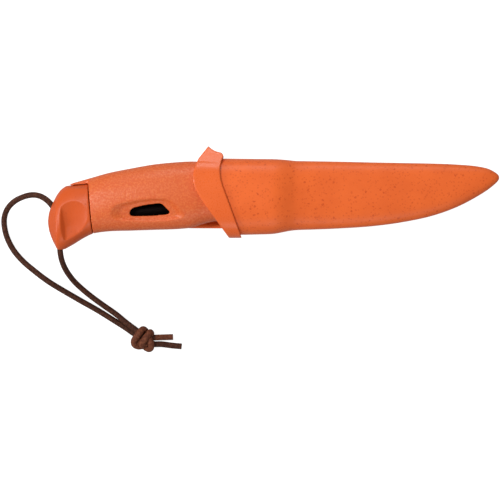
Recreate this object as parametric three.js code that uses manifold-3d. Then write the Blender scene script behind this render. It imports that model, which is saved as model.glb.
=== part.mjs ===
// Outdoor knife in its belt sheath. The butt of the handle is a fire striker that twists and pulls
// out with its rod, and a round leather lanyard runs through it and ends in a knot.
//
// Millimetres. The sheathed knife lies flat on its belt clip: +X points to the sheath tip, +Y to
// the blade's spine and +Z away from the clip, whose outer face is at z = 0. The origin is below
// the middle of the sheathed knife.

import * as THREE from 'three';
import { mergeVertices } from 'three/addons/utils/BufferGeometryUtils.js';
import Module from 'manifold-3d';

const wasm = await Module();
wasm.setup();

// Driving dimensions

const MID = 23; // height of the plane that the blade lies in
const GAP = 0.35; // clearance between neighbouring pieces
const FAR = 400; // size of a cutting block that reaches past everything
const REACH = 60; // from the middle plane, beyond every outline of the sheathed knife

const SHEATH_WALL = 1.6;
const SHEATH_SQUARENESS = 2.8;
const COLLAR_HEIGHT = 1.3; // how far the collar stands proud of the sheath
const LIP_DEPTH = 9.3; // below the middle plane, the back lip starts here
const DRAIN_RADIUS = 1.6;

const HANDLE_SQUARENESS = 2.35;
const GRIP_THICKNESS = 3.8; // soft skin over the hard core
const CORE_REAR = -93;
const CORE_FRONT = -3;
const WINDOW_LOW = -9.4; // lower edge of the window
const SUNK_LOW = 8.4; // height of that edge over the middle plane, at the bottom of the recess
const SUNK_RISE = 0.34; // and how the recess's bottom rises from there along Y

const BLADE_THICKNESS = 2.5;
const BLADE_HEEL = 4; // where the cutting edge starts
const SPINE_Y = 11;
const SPINE_DROP = { from: 66, to: 98, depth: 3.2 }; // the spine falls towards the blade's point
const SHANK = { rear: -1, bottom: -9.6 }; // full-height root of the blade, inside the handle's front
const BEVEL_HEIGHT = 6.2;
const TANG = { rear: -62, bottom: 1.5, top: 10.5 };

const ROD_RADIUS = 3.75;
const ROD_TILT = THREE.MathUtils.degToRad(5); // the rod runs down towards the butt
const ROD_AT_WINDOW = new THREE.Vector3(-66, -6.1, MID);
const SEAM_X = -96.9; // where the rod's axis crosses the joint of handle and butt
const ROD_FRONT = 47.5; // from the joint forwards
const ROD_REAR = 10.5; // from the joint into the butt
const SPIGOT_RADIUS = 6.2;
const SPIGOT_LENGTH = 5;
const SPIGOT_ROOT = 2; // how far the spigot reaches back into the butt
const TONGUE_RADIUS = 17; // underside of the tongue, about the rod's axis
const TONGUE_HALF_WIDTH = 4;
const TONGUE_END = -110.4;

const CLIP_THICKNESS = 2.8;
const CLIP_LOW = -8; // edges of the clip along Y
const CLIP_HIGH = 13;

const CORD_DIAMETER = 3.1;
const CORD_LAID = 1.6; // height of the centre of a cord that lies on the ground
const TUNNEL_DIAMETER = 4.2;

// Ribs: each crosses a body from a point on its upper outline to one on its lower outline.
// [upper x, upper y, lower x, lower y, half thickness]

const HANDLE_RIBS = [
  [-120.1, -11.0, -120.1, -14.0, 2.4],
  [-119.7, -8.0, -119.5, -17.4, 4.2],
  [-118.7, -4.7, -118.3, -21.0, 6.0],
  [-117.1, -1.4, -116.5, -24.8, 8.2],
  [-115.2, 2.2, -114.8, -27.4, 10.4],
  [-112.6, 5.3, -112.2, -27.3, 10.9],
  [-108.0, 7.8, -107.0, -24.6, 11.1],
  [-102.0, 9.6, -101.5, -21.2, 11.2],
  [-96.5, 11.2, -96.5, -18.8, 11.5],
  [-88.0, 13.6, -88.0, -17.5, 12.1],
  [-76.0, 16.0, -76.0, -17.1, 12.5],
  [-64.0, 18.1, -64.0, -16.7, 12.6],
  [-52.0, 19.3, -52.0, -16.3, 12.3],
  [-44.0, 19.7, -44.0, -15.5, 11.9],
  [-37.0, 19.5, -37.0, -13.3, 11.6],
  [-30.0, 19.2, -30.0, -12.0, 11.4],
  [-23.0, 19.1, -23.0, -12.4, 11.2],
  [-15.0, 18.9, -15.0, -14.6, 11.0],
  [-8.0, 18.7, -8.0, -16.3, 10.6],
  [-3.0, 18.6, -3.0, -15.9, 9.8],
  [0.0, 17.6, 0.0, -14.6, 8.6],
];

const SHEATH_RIBS = [
  [-46.0, 21.6, -46.0, -19.2, 13.9],
  [-26.0, 21.2, -26.0, -19.4, 13.8],
  [-10.0, 21.0, -10.0, -19.2, 13.6],
  [0.0, 20.9, 0.0, -18.8, 13.3],
  [4.0, 20.7, 4.0, -18.1, 12.5],
  [7.5, 20.4, 7.5, -17.4, 11.4],
  [11.0, 20.0, 11.0, -16.9, 10.4],
  [15.0, 19.9, 15.0, -16.7, 9.8],
  [22.0, 19.8, 22.0, -16.5, 9.1],
  [34.0, 19.6, 34.0, -16.0, 8.4],
  [52.0, 19.2, 52.0, -14.8, 7.9],
  [68.0, 18.9, 68.0, -12.7, 7.4],
  [84.0, 18.6, 84.0, -9.3, 6.9],
  [97.0, 18.1, 97.0, -4.7, 6.4],
  [107.5, 17.2, 108.0, 1.0, 5.8],
  [114.0, 15.8, 115.0, 5.6, 5.0],
  [118.3, 13.4, 119.0, 9.2, 3.6],
  [119.7, 11.9, 119.9, 10.6, 2.2],
];

// Routes of the lanyard's two legs, from the middle of the tunnel to the knot.

const UPPER_LEG = [
  [-115.0, -13.6, MID], [-115.7, -9.0, MID], [-117.0, -5.6, MID], [-119.0, -2.7, MID],
  [-121.6, -0.3, 22.6], [-125.2, 1.5, 21.0], [-129.4, 2.0, 18.2], [-134.5, 1.0, 14.0],
  [-140.1, -1.6, 8.8], [-144.1, -5.7, 4.6], [-145.9, -11.1, 2.2], [-144.9, -18.9, CORD_LAID],
  [-141.4, -26.6, CORD_LAID], [-136.2, -33.0, CORD_LAID], [-129.5, -38.8, CORD_LAID],
  [-121.9, -44.5, CORD_LAID], [-113.4, -49.7, CORD_LAID], [-104.6, -54.8, CORD_LAID],
  [-95.2, -60.1, CORD_LAID], [-86.2, -65.7, CORD_LAID], [-80.2, -69.5, CORD_LAID], [-77.2, -71.6, 1.7],
];

const LOWER_LEG = [
  [-114.9, -14.3, MID], [-114.4, -19.0, MID], [-114.0, -24.0, MID], [-113.8, -28.2, 22.7],
  [-113.4, -31.6, 21.0], [-112.7, -34.8, 17.8], [-111.6, -37.9, 13.8], [-109.9, -41.1, 9.6],
  [-107.5, -44.5, 6.0], [-104.1, -48.0, 3.4], [-99.7, -51.8, 2.0], [-92.6, -57.1, CORD_LAID],
  [-85.4, -62.1, 2.0], [-80.5, -66.0, 3.8], [-76.0, -69.4, 4.6],
];

const KNOT_CENTRE = new THREE.Vector3(-71.1, -75.5, 4.4);
const KNOT_HALF = new THREE.Vector3(6.4, 7.4, 4.3);
const SHORT_TAIL = [[-64.3, -74.8, 2.6], [-61.2, -74.7, 1.8], [-57.8, -74.6, CORD_LAID],
  [-54.5, -74.5, CORD_LAID]];
const LONG_TAIL = [[-64.4, -78.4, 2.6], [-60.8, -78.4, 1.8], [-55.2, -79.1, CORD_LAID],
  [-49.8, -79.6, CORD_LAID]];

// Solids

function solid(geometry) {
  const bare = geometry.index ? geometry : geometry.clone();
  bare.deleteAttribute('normal');
  bare.deleteAttribute('uv');
  const merged = mergeVertices(bare, 1e-4);
  return new wasm.Manifold(new wasm.Mesh({
    numProp: 3,
    vertProperties: new Float32Array(merged.attributes.position.array),
    triVerts: new Uint32Array(merged.index.array),
  }));
}

function geometryOf(body) {
  const mesh = body.getMesh();
  const geometry = new THREE.BufferGeometry();
  geometry.setAttribute('position', new THREE.BufferAttribute(mesh.vertProperties, 3));
  geometry.setIndex(new THREE.BufferAttribute(mesh.triVerts, 1));
  geometry.computeVertexNormals();
  return geometry;
}

// Closed skin over rings of points, which run from one end to the other.
function skin(rings) {
  const sides = rings[0].length;
  const points = rings.flat();
  const index = [];
  for (let ring = 0; ring < rings.length - 1; ring += 1) {
    for (let side = 0; side < sides; side += 1) {
      const a = ring * sides + side;
      const b = ring * sides + ((side + 1) % sides);
      index.push(a, b, b + sides, a, b + sides, a + sides);
    }
  }
  const addCap = (ring, flip) => {
    const centre = new THREE.Vector3();
    ring.forEach((point) => centre.addScaledVector(point, 1 / sides));
    const first = points.indexOf(ring[0]);
    const hub = points.push(centre) - 1;
    for (let side = 0; side < sides; side += 1) {
      const a = first + side;
      const b = first + ((side + 1) % sides);
      index.push(hub, flip ? a : b, flip ? b : a);
    }
  };
  addCap(rings[0], false);
  addCap(rings[rings.length - 1], true);
  const geometry = new THREE.BufferGeometry().setFromPoints(points);
  geometry.setIndex(index);
  return geometry;
}

function signedPower(value, exponent) {
  return Math.sign(value) * Math.abs(value) ** exponent;
}

// Smooth body through ribs, with a rounded-oval section whose squareness 2 is an ellipse.
function loft(ribs, { squareness, grow = 0, steps, sides = 24, from = 0, to = 1 }) {
  const upper = new THREE.CatmullRomCurve3(ribs.map(([x, y, , , half]) => new THREE.Vector3(x, y, half)));
  const lower = new THREE.CatmullRomCurve3(ribs.map(([, , x, y]) => new THREE.Vector3(x, y, 0)));
  const rings = [];
  for (let step = 0; step <= steps; step += 1) {
    const along = from + ((to - from) * step) / steps;
    const top = upper.getPoint(along);
    const bottom = lower.getPoint(along);
    const across = new THREE.Vector2(top.x - bottom.x, top.y - bottom.y);
    const halfHeight = across.length() / 2 + grow;
    const halfThickness = top.z + grow;
    across.normalize();
    const ring = [];
    for (let side = 0; side < sides; side += 1) {
      const angle = (2 * Math.PI * side) / sides;
      const up = halfHeight * signedPower(Math.cos(angle), 2 / squareness);
      const out = halfThickness * signedPower(Math.sin(angle), 2 / squareness);
      ring.push(new THREE.Vector3(
        (top.x + bottom.x) / 2 + across.x * up,
        (top.y + bottom.y) / 2 + across.y * up,
        MID + out,
      ));
    }
    rings.push(ring);
  }
  return solid(skin(rings));
}

function box(x0, x1, y0, y1, z0, z1) {
  const geometry = new THREE.BoxGeometry(x1 - x0, y1 - y0, z1 - z0);
  geometry.translate((x0 + x1) / 2, (y0 + y1) / 2, (z0 + z1) / 2);
  return solid(geometry);
}

// Outline in the X-Y plane, raised from z0 to z1.
function prism(shape, z0, z1, curveSegments = 8) {
  const geometry = new THREE.ExtrudeGeometry(shape, { depth: z1 - z0, bevelEnabled: false, curveSegments });
  geometry.translate(0, 0, z0);
  return solid(geometry);
}

// Outline in the X-Z plane, raised from y0 to y1.
function crossPrism(shape, y0, y1, curveSegments = 6) {
  const geometry = new THREE.ExtrudeGeometry(shape, { depth: y1 - y0, bevelEnabled: false, curveSegments });
  geometry.rotateX(Math.PI / 2);
  geometry.translate(0, y1, 0);
  return solid(geometry);
}

function ellipsoid(centre, half, { sides = 28, lean = 0 } = {}) {
  const geometry = new THREE.SphereGeometry(1, sides, sides / 2);
  geometry.scale(half.x, half.y, half.z);
  geometry.rotateX(lean);
  geometry.translate(centre.x, centre.y, centre.z);
  return solid(geometry);
}

function tube(points, diameter, steps, sides = 8) {
  const path = new THREE.CatmullRomCurve3(points.map(([x, y, z]) => new THREE.Vector3(x, y, z)));
  const section = new THREE.Shape();
  for (let side = 0; side < sides; side += 1) {
    const angle = (2 * Math.PI * side) / sides;
    const corner = [(diameter / 2) * Math.cos(angle), (diameter / 2) * Math.sin(angle)];
    if (side === 0) section.moveTo(...corner);
    else section.lineTo(...corner);
  }
  return solid(new THREE.ExtrudeGeometry(section, { steps, extrudePath: path, bevelEnabled: false }));
}

// The rod's own frame: its origin is where its axis crosses the joint of handle and butt, and its
// +Y points forwards along the rod.
function alongRod(geometry) {
  const seamY = ROD_AT_WINDOW.y + (SEAM_X - ROD_AT_WINDOW.x) * Math.tan(ROD_TILT);
  geometry.rotateZ(ROD_TILT - Math.PI / 2);
  geometry.translate(SEAM_X, seamY, MID);
  return solid(geometry);
}

function rodCylinder(radius, rear, front, sides = 32) {
  const geometry = new THREE.CylinderGeometry(radius, radius, front - rear, sides);
  geometry.translate(0, (front + rear) / 2, 0);
  return alongRod(geometry);
}

// Everything behind a plane square to the rod, at a distance in front of the joint.
function behindRodPlane(distance) {
  const geometry = new THREE.BoxGeometry(FAR, FAR, FAR);
  geometry.translate(0, distance - FAR / 2, 0);
  return alongRod(geometry);
}

// Space above the butt, outside a radius about the rod's axis.
function overButt(radius, end, halfWidth) {
  return box(end, SEAM_X + 5, -4, 30, MID - halfWidth, MID + halfWidth)
    .subtract(rodCylinder(radius, -REACH, REACH, 96));
}

// Sheath

// The mouth is cut along this edge, which slants forwards from a hump near the top.
function mouthEdge(path, shift) {
  path.lineTo(-23.6 + shift, -21.5);
  path.lineTo(-37.6 + shift, -1.9);
  path.bezierCurveTo(-42.6 + shift, 5.8, -45.2 + shift, 9.6, -40 + shift, 20.9);
}

function collarOutline() {
  const outline = new THREE.Shape();
  outline.moveTo(-17, -21.5);
  mouthEdge(outline, 0);
  outline.lineTo(-34.8, 27.7);
  outline.quadraticCurveTo(-32.4, 24.8, -27.9, 24.1);
  outline.lineTo(-26.8, 22.6);
  outline.bezierCurveTo(-29.4, 15.5, -29.2, 11.8, -26.6, 4.5);
  return outline;
}

function sheathLoft(grow, steps = 26) {
  return loft(SHEATH_RIBS, { squareness: SHEATH_SQUARENESS, grow, steps });
}

function sheathBody() {
  const beforeMouth = new THREE.Shape();
  const mouthShift = 0.8;
  beforeMouth.moveTo(-60, -30);
  mouthEdge(beforeMouth, mouthShift);
  beforeMouth.lineTo(-38, 30);
  beforeMouth.lineTo(-60, 30);
  const drain = new THREE.CylinderGeometry(DRAIN_RADIUS, DRAIN_RADIUS, 12, 16);
  drain.rotateZ(Math.PI / 2);
  drain.translate(117, 11.2, MID);
  const hollow = loft(SHEATH_RIBS, {
    squareness: SHEATH_SQUARENESS, grow: -SHEATH_WALL, steps: 20, to: 0.95,
  });
  return sheathLoft(0)
    .subtract(hollow)
    .subtract(prism(beforeMouth, MID - LIP_DEPTH, MID + REACH, 12))
    .subtract(solid(drain));
}

// Space over the top of the collar, which narrows upwards from the collar's own curve.
function spurRoom() {
  const base = 16;
  const tangent = { y: 17.2, half: 12.5 };
  const tip = { y: 28, half: 6 };
  const section = new THREE.Shape([
    new THREE.Vector2(base, -tangent.half), new THREE.Vector2(tangent.y, -tangent.half),
    new THREE.Vector2(tip.y, -tip.half), new THREE.Vector2(tip.y, tip.half),
    new THREE.Vector2(tangent.y, tangent.half), new THREE.Vector2(base, tangent.half),
  ]);
  const geometry = new THREE.ExtrudeGeometry(section, { depth: REACH, bevelEnabled: false });
  geometry.applyMatrix4(new THREE.Matrix4().makeBasis(
    new THREE.Vector3(0, 1, 0), new THREE.Vector3(0, 0, 1), new THREE.Vector3(1, 0, 0),
  ));
  geometry.translate(-REACH, 0, MID);
  return solid(geometry);
}

function sheathCollar() {
  const inOutline = prism(collarOutline(), MID - REACH, MID + REACH, 12);
  return sheathLoft(GAP + COLLAR_HEIGHT)
    .add(spurRoom())
    .intersect(inOutline)
    .subtract(sheathLoft(GAP));
}

// Side view of the clip: a hook at the collar, a straight flat run and a tip that dips to the sheath.
function beltClip() {
  const rear = -43;
  const bridge = 7; // length of the block that joins the clip to the collar
  const straightEnd = 13;
  const side = new THREE.Shape();
  side.moveTo(rear, 12);
  side.lineTo(rear, 2.6);
  side.quadraticCurveTo(rear, 0, rear + 2.6, 0);
  side.lineTo(straightEnd, 0);
  side.bezierCurveTo(22, 0, 26, 7.8, 34, 8.0);
  side.quadraticCurveTo(38.5, 8.0, 42, 5.4);
  side.lineTo(43.6, 7.6);
  side.quadraticCurveTo(39.5, 10.8, 34, 8.0 + CLIP_THICKNESS);
  side.bezierCurveTo(25, 7.8 + CLIP_THICKNESS, 21, CLIP_THICKNESS, straightEnd, CLIP_THICKNESS);
  side.lineTo(rear + bridge + 1.5, CLIP_THICKNESS);
  side.quadraticCurveTo(rear + bridge, CLIP_THICKNESS, rear + bridge, CLIP_THICKNESS + 1.5);
  side.lineTo(rear + bridge, 12);
  return crossPrism(side, CLIP_LOW, CLIP_HIGH).subtract(sheathLoft(COLLAR_HEIGHT + 2 * GAP));
}

// Knife

function blade() {
  const edge = new THREE.CubicBezierCurve(
    new THREE.Vector2(BLADE_HEEL, -10.6), new THREE.Vector2(58, -10.6),
    new THREE.Vector2(78, -8.8), new THREE.Vector2(95, 7.2),
  );
  const blunt = 0.985; // part of the edge curve that is used, which leaves the point slightly blunt
  const bevelShare = 0.7; // of the blade's height, the most that the bevel takes
  const halfEdge = 0.1;
  const half = BLADE_THICKNESS / 2;
  const steps = 18;
  const rings = [];
  for (let step = 0; step <= steps; step += 1) {
    const { x, y } = edge.getPoint((blunt * step) / steps);
    const drop = THREE.MathUtils.smoothstep(x, SPINE_DROP.from, SPINE_DROP.to) * SPINE_DROP.depth;
    const spine = SPINE_Y - drop;
    const shoulder = Math.min(y + BEVEL_HEIGHT, y + bevelShare * (spine - y));
    rings.push([
      [spine, -half], [spine, half], [shoulder, half], [y, halfEdge], [y, -halfEdge], [shoulder, -half],
    ].map(([high, out]) => new THREE.Vector3(x, high, MID + out)));
  }
  const tang = box(TANG.rear, BLADE_HEEL + 0.5, TANG.bottom, TANG.top, MID - half, MID + half);
  const shank = box(SHANK.rear, BLADE_HEEL + 0.01, SHANK.bottom, SPINE_Y, MID - half, MID + half);
  return solid(skin(rings)).add(tang).add(shank);
}

function bladeRoom() {
  const half = BLADE_THICKNESS / 2 + GAP;
  const front = BLADE_HEEL - 2;
  const tang = box(TANG.rear - GAP, front, TANG.bottom - GAP, TANG.top + GAP, MID - half, MID + half);
  const shank = box(
    SHANK.rear - GAP, front, SHANK.bottom - GAP, SPINE_Y + GAP, MID - half, MID + half,
  );
  return tang.add(shank);
}

function handleLoft(grow, steps = 40) {
  return loft(HANDLE_RIBS, { squareness: HANDLE_SQUARENESS, grow, steps });
}

// Closed outline of quadratic curves, each given by its control point and end.
function smoothOutline(start, bends) {
  const points = [];
  let here = new THREE.Vector2(...start);
  bends.forEach(([control, end]) => {
    const next = new THREE.Vector2(...end);
    const curve = new THREE.QuadraticBezierCurve(here, new THREE.Vector2(...control), next);
    points.push(...curve.getPoints(4).slice(1));
    here = next;
  });
  return points;
}

// Window through which the rod shows on both sides.
function windowOutline() {
  const start = [-74.4, WINDOW_LOW];
  return smoothOutline(start, [
    [[-76.6, WINDOW_LOW], [-76.1, -7.3]],
    [[-75.7, -5.5], [-73.6, -4.9]],
    [[-67.5, -3.3], [-61.2, -2.8]],
    [[-59.6, -2.7], [-58.6, -3.7]],
    [[-57.4, -5.0], [-55.6, -6.8]],
    [[-54.2, -8.2], [-56.9, -8.5]],
    [[-63.7, -9.5], start],
  ]);
}

// Rim of the thumb recess round the window, with as many points as the window.
function recessOutline() {
  const start = [-80.0, -11.8];
  return smoothOutline(start, [
    [[-86.4, -11.4], [-86.6, -8.3]],
    [[-86.6, -4.4], [-81.0, -3.0]],
    [[-70.0, -0.2], [-60.5, -0.4]],
    [[-57.2, -0.4], [-54.4, -1.3]],
    [[-50.8, -3.6], [-48.2, -7.4]],
    [[-46.6, -10.2], [-50.6, -10.9]],
    [[-61.0, -13.2], start],
  ]);
}

// Height of the handle's surface over the middle plane, along its straight part.
function handleHeight(x, y) {
  const next = HANDLE_RIBS.findIndex(([ribX]) => ribX > x);
  const [before, after] = [HANDLE_RIBS[next - 1], HANDLE_RIBS[next]];
  const part = (x - before[0]) / (after[0] - before[0]);
  const [, top, , bottom, half] = before.map((value, k) => THREE.MathUtils.lerp(value, after[k], part));
  const across = Math.abs(2 * y - top - bottom) / (top - bottom);
  return half * (1 - across ** HANDLE_SQUARENESS) ** (1 / HANDLE_SQUARENESS);
}

// Funnel from the window, which is sunk towards its lower side, up to the rim of the recess.
function thumbRecess(side) {
  const hollow = 0.8;
  const sunk = windowOutline().map(({ x, y }) => (
    new THREE.Vector3(x, y, SUNK_LOW + SUNK_RISE * (y - WINDOW_LOW))));
  const rim = recessOutline().map(({ x, y }) => new THREE.Vector3(x, y, handleHeight(x, y)));
  const halfway = sunk.map((point, k) => {
    const middle = point.clone().lerp(rim[k], 0.5);
    middle.z -= hollow;
    return middle;
  });
  const above = rim.map(({ x, y }) => new THREE.Vector3(x, y, REACH));
  const rings = [sunk, halfway, rim, above];
  rings.forEach((ring) => {
    ring.forEach((point) => { point.z = MID + side * point.z; });
    if (side > 0) ring.reverse();
  });
  return solid(skin(rings));
}

// The window as a hole right through, grown by a margin.
function windowRoom(margin) {
  const farthest = 8; // points beyond this distance from the middle move out by more than the margin
  const grown = windowOutline().map((point) => {
    const away = point.clone().sub(ROD_AT_WINDOW);
    return point.clone().addScaledVector(away, margin / Math.min(away.length(), farthest));
  });
  return prism(new THREE.Shape(grown), MID - REACH, MID + REACH);
}

function coreRoom(grow) {
  return handleLoft(grow - GRIP_THICKNESS, 20)
    .intersect(box(CORE_REAR - grow, CORE_FRONT + grow, -REACH, REACH, MID - REACH, MID + REACH));
}

function rodRoom() {
  return rodCylinder(ROD_RADIUS + GAP, -1, ROD_FRONT + 1.5)
    .add(rodCylinder(SPIGOT_RADIUS + GAP, -1, SPIGOT_LENGTH + GAP));
}

function handleCore() {
  return coreRoom(0)
    .subtract(windowRoom(0.5))
    .subtract(rodRoom())
    .subtract(bladeRoom());
}

function handleGrip() {
  const tongue = overButt(TONGUE_RADIUS, TONGUE_END, TONGUE_HALF_WIDTH);
  const behind = behindRodPlane(0).subtract(tongue);
  return handleLoft(0)
    .subtract(behind)
    .subtract(coreRoom(GAP))
    .subtract(windowRoom(0))
    .subtract(thumbRecess(1))
    .subtract(thumbRecess(-1))
    .subtract(rodRoom())
    .subtract(bladeRoom());
}

// Striker

function ferroRod() {
  return rodCylinder(ROD_RADIUS, -ROD_REAR, ROD_FRONT, 24);
}

// Thumb scoop with a sloping step at the rear, which runs out forwards.
function thumbScoop(side) {
  const lean = THREE.MathUtils.degToRad(10); // its floor falls towards the butt's point
  const bowl = ellipsoid(
    new THREE.Vector3(-107.4, -10.8, MID + side * 16.6),
    new THREE.Vector3(13, 26, 8),
    { sides: 36, lean: side * lean },
  );
  const step = [[-110.4, 8], [-112.7, 10.6], [-112.7, 30], [-80, 30], [-80, 8]];
  const room = new THREE.Shape(step.map(([x, z]) => new THREE.Vector2(x, MID + side * z)));
  return bowl.intersect(crossPrism(room, -REACH, REACH));
}

function strikerHandle() {
  const ahead = behindRodPlane(FAR - GAP).subtract(behindRodPlane(-GAP));
  const spigot = rodCylinder(SPIGOT_RADIUS, -SPIGOT_ROOT, SPIGOT_LENGTH);
  const tunnel = [...LOWER_LEG.slice(0, 5)].reverse().concat(UPPER_LEG.slice(0, 6));
  return handleLoft(0)
    .subtract(ahead)
    .subtract(overButt(TONGUE_RADIUS - GAP, TONGUE_END - 2.6, 20))
    .add(spigot)
    .subtract(thumbScoop(1))
    .subtract(thumbScoop(-1))
    .subtract(rodCylinder(ROD_RADIUS + GAP, -ROD_REAR - GAP, SPIGOT_LENGTH + 1))
    .subtract(tube(tunnel, TUNNEL_DIAMETER, 24, 12));
}

// Finishes

const finish = (color, roughness, metalness = 0) => new THREE.MeshStandardMaterial({
  color, roughness, metalness,
});
const SHEATH_PLASTIC = finish(0xe76a36, 0.55);
const COLLAR_PLASTIC = finish(0xe26c3a, 0.5);
const CORE_PLASTIC = finish(0x2a1511, 0.5);
const GRIP_RUBBER = finish(0xdc7046, 0.75);
const STRIKER_PLASTIC = finish(0xe06638, 0.5);
const STEEL = finish(0xb9bcc0, 0.28, 1);
const FERRO = finish(0x2a2522, 0.5, 0.8);
const LEATHER = finish(0x3c241c, 0.7);

// The assembly

function piece(name, body, material) {
  const mesh = new THREE.Mesh(geometryOf(body), material);
  mesh.name = name;
  return mesh;
}

const knife = new THREE.Group();
knife.add(
  piece('sheath_body', sheathBody(), SHEATH_PLASTIC),
  piece('sheath_collar', sheathCollar(), COLLAR_PLASTIC),
  piece('belt_clip', beltClip(), COLLAR_PLASTIC),
  piece('blade', blade(), STEEL),
  piece('handle_core', handleCore(), CORE_PLASTIC),
  piece('handle_grip', handleGrip(), GRIP_RUBBER),
  piece('ferro_rod', ferroRod(), FERRO),
  piece('striker_handle', strikerHandle(), STRIKER_PLASTIC),
  piece('lanyard_upper_leg', tube(UPPER_LEG, CORD_DIAMETER, 36), LEATHER),
  piece('lanyard_lower_leg', tube(LOWER_LEG, CORD_DIAMETER, 20), LEATHER),
  piece('lanyard_knot', ellipsoid(KNOT_CENTRE, KNOT_HALF, { sides: 16 }), LEATHER),
  piece('lanyard_tail_short', tube(SHORT_TAIL, CORD_DIAMETER, 4), LEATHER),
  piece('lanyard_tail_long', tube(LONG_TAIL, CORD_DIAMETER, 5), LEATHER),
);

export default knife;
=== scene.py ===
"""Looks of the sheathed outdoor knife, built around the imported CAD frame.

Shapes are made in millimetres, in the CAD's own frame, and turned to metres when they become
pieces. The lanyard's routes are in metres from the start.
+X points to the sheath tip, +Y to the spine side and +Z away from the belt clip.
"""

import math

import bmesh
import bpy
import numpy as np
from mathutils import Matrix


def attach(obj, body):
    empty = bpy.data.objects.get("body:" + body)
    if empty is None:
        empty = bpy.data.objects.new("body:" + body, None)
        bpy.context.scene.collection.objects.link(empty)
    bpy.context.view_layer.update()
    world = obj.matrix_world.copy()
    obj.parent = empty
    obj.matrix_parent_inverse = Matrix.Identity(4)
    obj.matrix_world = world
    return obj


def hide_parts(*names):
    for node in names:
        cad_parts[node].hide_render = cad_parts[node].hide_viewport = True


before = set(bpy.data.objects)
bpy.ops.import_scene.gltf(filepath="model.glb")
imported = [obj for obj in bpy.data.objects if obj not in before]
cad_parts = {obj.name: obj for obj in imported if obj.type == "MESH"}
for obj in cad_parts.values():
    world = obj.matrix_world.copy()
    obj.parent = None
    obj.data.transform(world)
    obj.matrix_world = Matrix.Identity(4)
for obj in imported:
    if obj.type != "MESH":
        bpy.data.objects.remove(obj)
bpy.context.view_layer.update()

MM = 0.001
MID = 23.0  # height of the blade's plane
GAP = 0.35  # between neighbouring pieces
OVERLAP = 1.0  # of bodies that are joined or cut, so that none of their faces coincide
REACH = 30.0  # past the object's edges in Y, and past its faces as measured from the blade's plane
LONG_REACH = 60.0  # from the origin, past the piece that is being cut
FAR = 400.0  # length and radius of the body that stands for all space behind a plane

SHEATH_WALL = 1.6
HOLLOW_SHARE = 0.95  # share of the sheath's ribs that its hollow follows
MOUTH_STEP = 0.8  # from the collar's rear edge forwards to the sheath's own
DRAIN_Y = 11.2
DRAIN_DIAMETER = 3.2
SHEATH_SQUARENESS = 2.8
COLLAR_HEIGHT = 1.3
LIP_DEPTH = 9.3
HANDLE_SQUARENESS = 2.35
GRIP_THICKNESS = 3.8
CORE_REAR = -93.0
CORE_FRONT = -3.0
WINDOW_LOW = -9.4  # lower edge of the window
SUNK_LOW = 8.4  # height of that edge over the middle plane, at the bottom of the recess
SUNK_RISE = 0.34  # and how the recess's bottom rises from there along Y
RECESS_DISH = 0.8  # how far the recess's side sinks below a straight slope, halfway up
BLADE_THICKNESS = 2.5
BLADE_HEEL = 4.0  # where the edge starts
BLADE_SPINE = 11.0
BLADE_LOW = -10.6  # straight part of the edge
EDGE_HALF = 0.1  # half thickness of the edge itself
BEVEL_HEIGHT = 6.2
BEVEL_SHARE = 0.7  # most of the blade's depth that the bevel takes up, near the point
DROP_START = 66.0  # where the spine starts to fall towards the point
DROP_LENGTH = 32.0
SPINE_DROP = 3.2
SHANK_REAR = -1.0
SHANK_LOW = -9.6
TANG_REAR = -62.0
TANG_LOW = 1.5
TANG_HIGH = 10.5
ROD_RADIUS = 3.75
ROD_TILT = math.radians(5)
SEAM_X = -96.9
WINDOW_CENTRE = (-66.0, -6.1)
ROD_FRONT = 47.5
ROD_REAR = 10.5
ROD_END_ROOM = 1.5  # in front of the rod
SPIGOT_RADIUS = 6.2
SPIGOT_LENGTH = 5.0
TONGUE_RADIUS = 17.0
TONGUE_HALF_WIDTH = 4.0
TONGUE_END = -110.4
TONGUE_ROOM = 2.6  # behind the tongue
TUNNEL_DIAMETER = 4.2
CORD_DIAMETER = 3.1
WRAP_DIAMETER = 3.6  # strands round the outside of the knot
INNER_DIAMETER = 3.2  # strands through the knot, and the tails

# Ribs: upper x, upper y, lower x, lower y, half thickness
HANDLE_RIBS = [
    (-120.1, -11.0, -120.1, -14.0, 2.4),
    (-119.7, -8.0, -119.5, -17.4, 4.2),
    (-118.7, -4.7, -118.3, -21.0, 6.0),
    (-117.1, -1.4, -116.5, -24.8, 8.2),
    (-115.2, 2.2, -114.8, -27.4, 10.4),
    (-112.6, 5.3, -112.2, -27.3, 10.9),
    (-108.0, 7.8, -107.0, -24.6, 11.1),
    (-102.0, 9.6, -101.5, -21.2, 11.2),
    (-96.5, 11.2, -96.5, -18.8, 11.5),
    (-88.0, 13.6, -88.0, -17.5, 12.1),
    (-76.0, 16.0, -76.0, -17.1, 12.5),
    (-64.0, 18.1, -64.0, -16.7, 12.6),
    (-52.0, 19.3, -52.0, -16.3, 12.3),
    (-44.0, 19.7, -44.0, -15.5, 11.9),
    (-37.0, 19.5, -37.0, -13.3, 11.6),
    (-30.0, 19.2, -30.0, -12.0, 11.4),
    (-23.0, 19.1, -23.0, -12.4, 11.2),
    (-15.0, 18.9, -15.0, -14.6, 11.0),
    (-8.0, 18.7, -8.0, -16.3, 10.6),
    (-3.0, 18.6, -3.0, -15.9, 9.8),
    (0.0, 17.6, 0.0, -14.6, 8.6),
]

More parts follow.
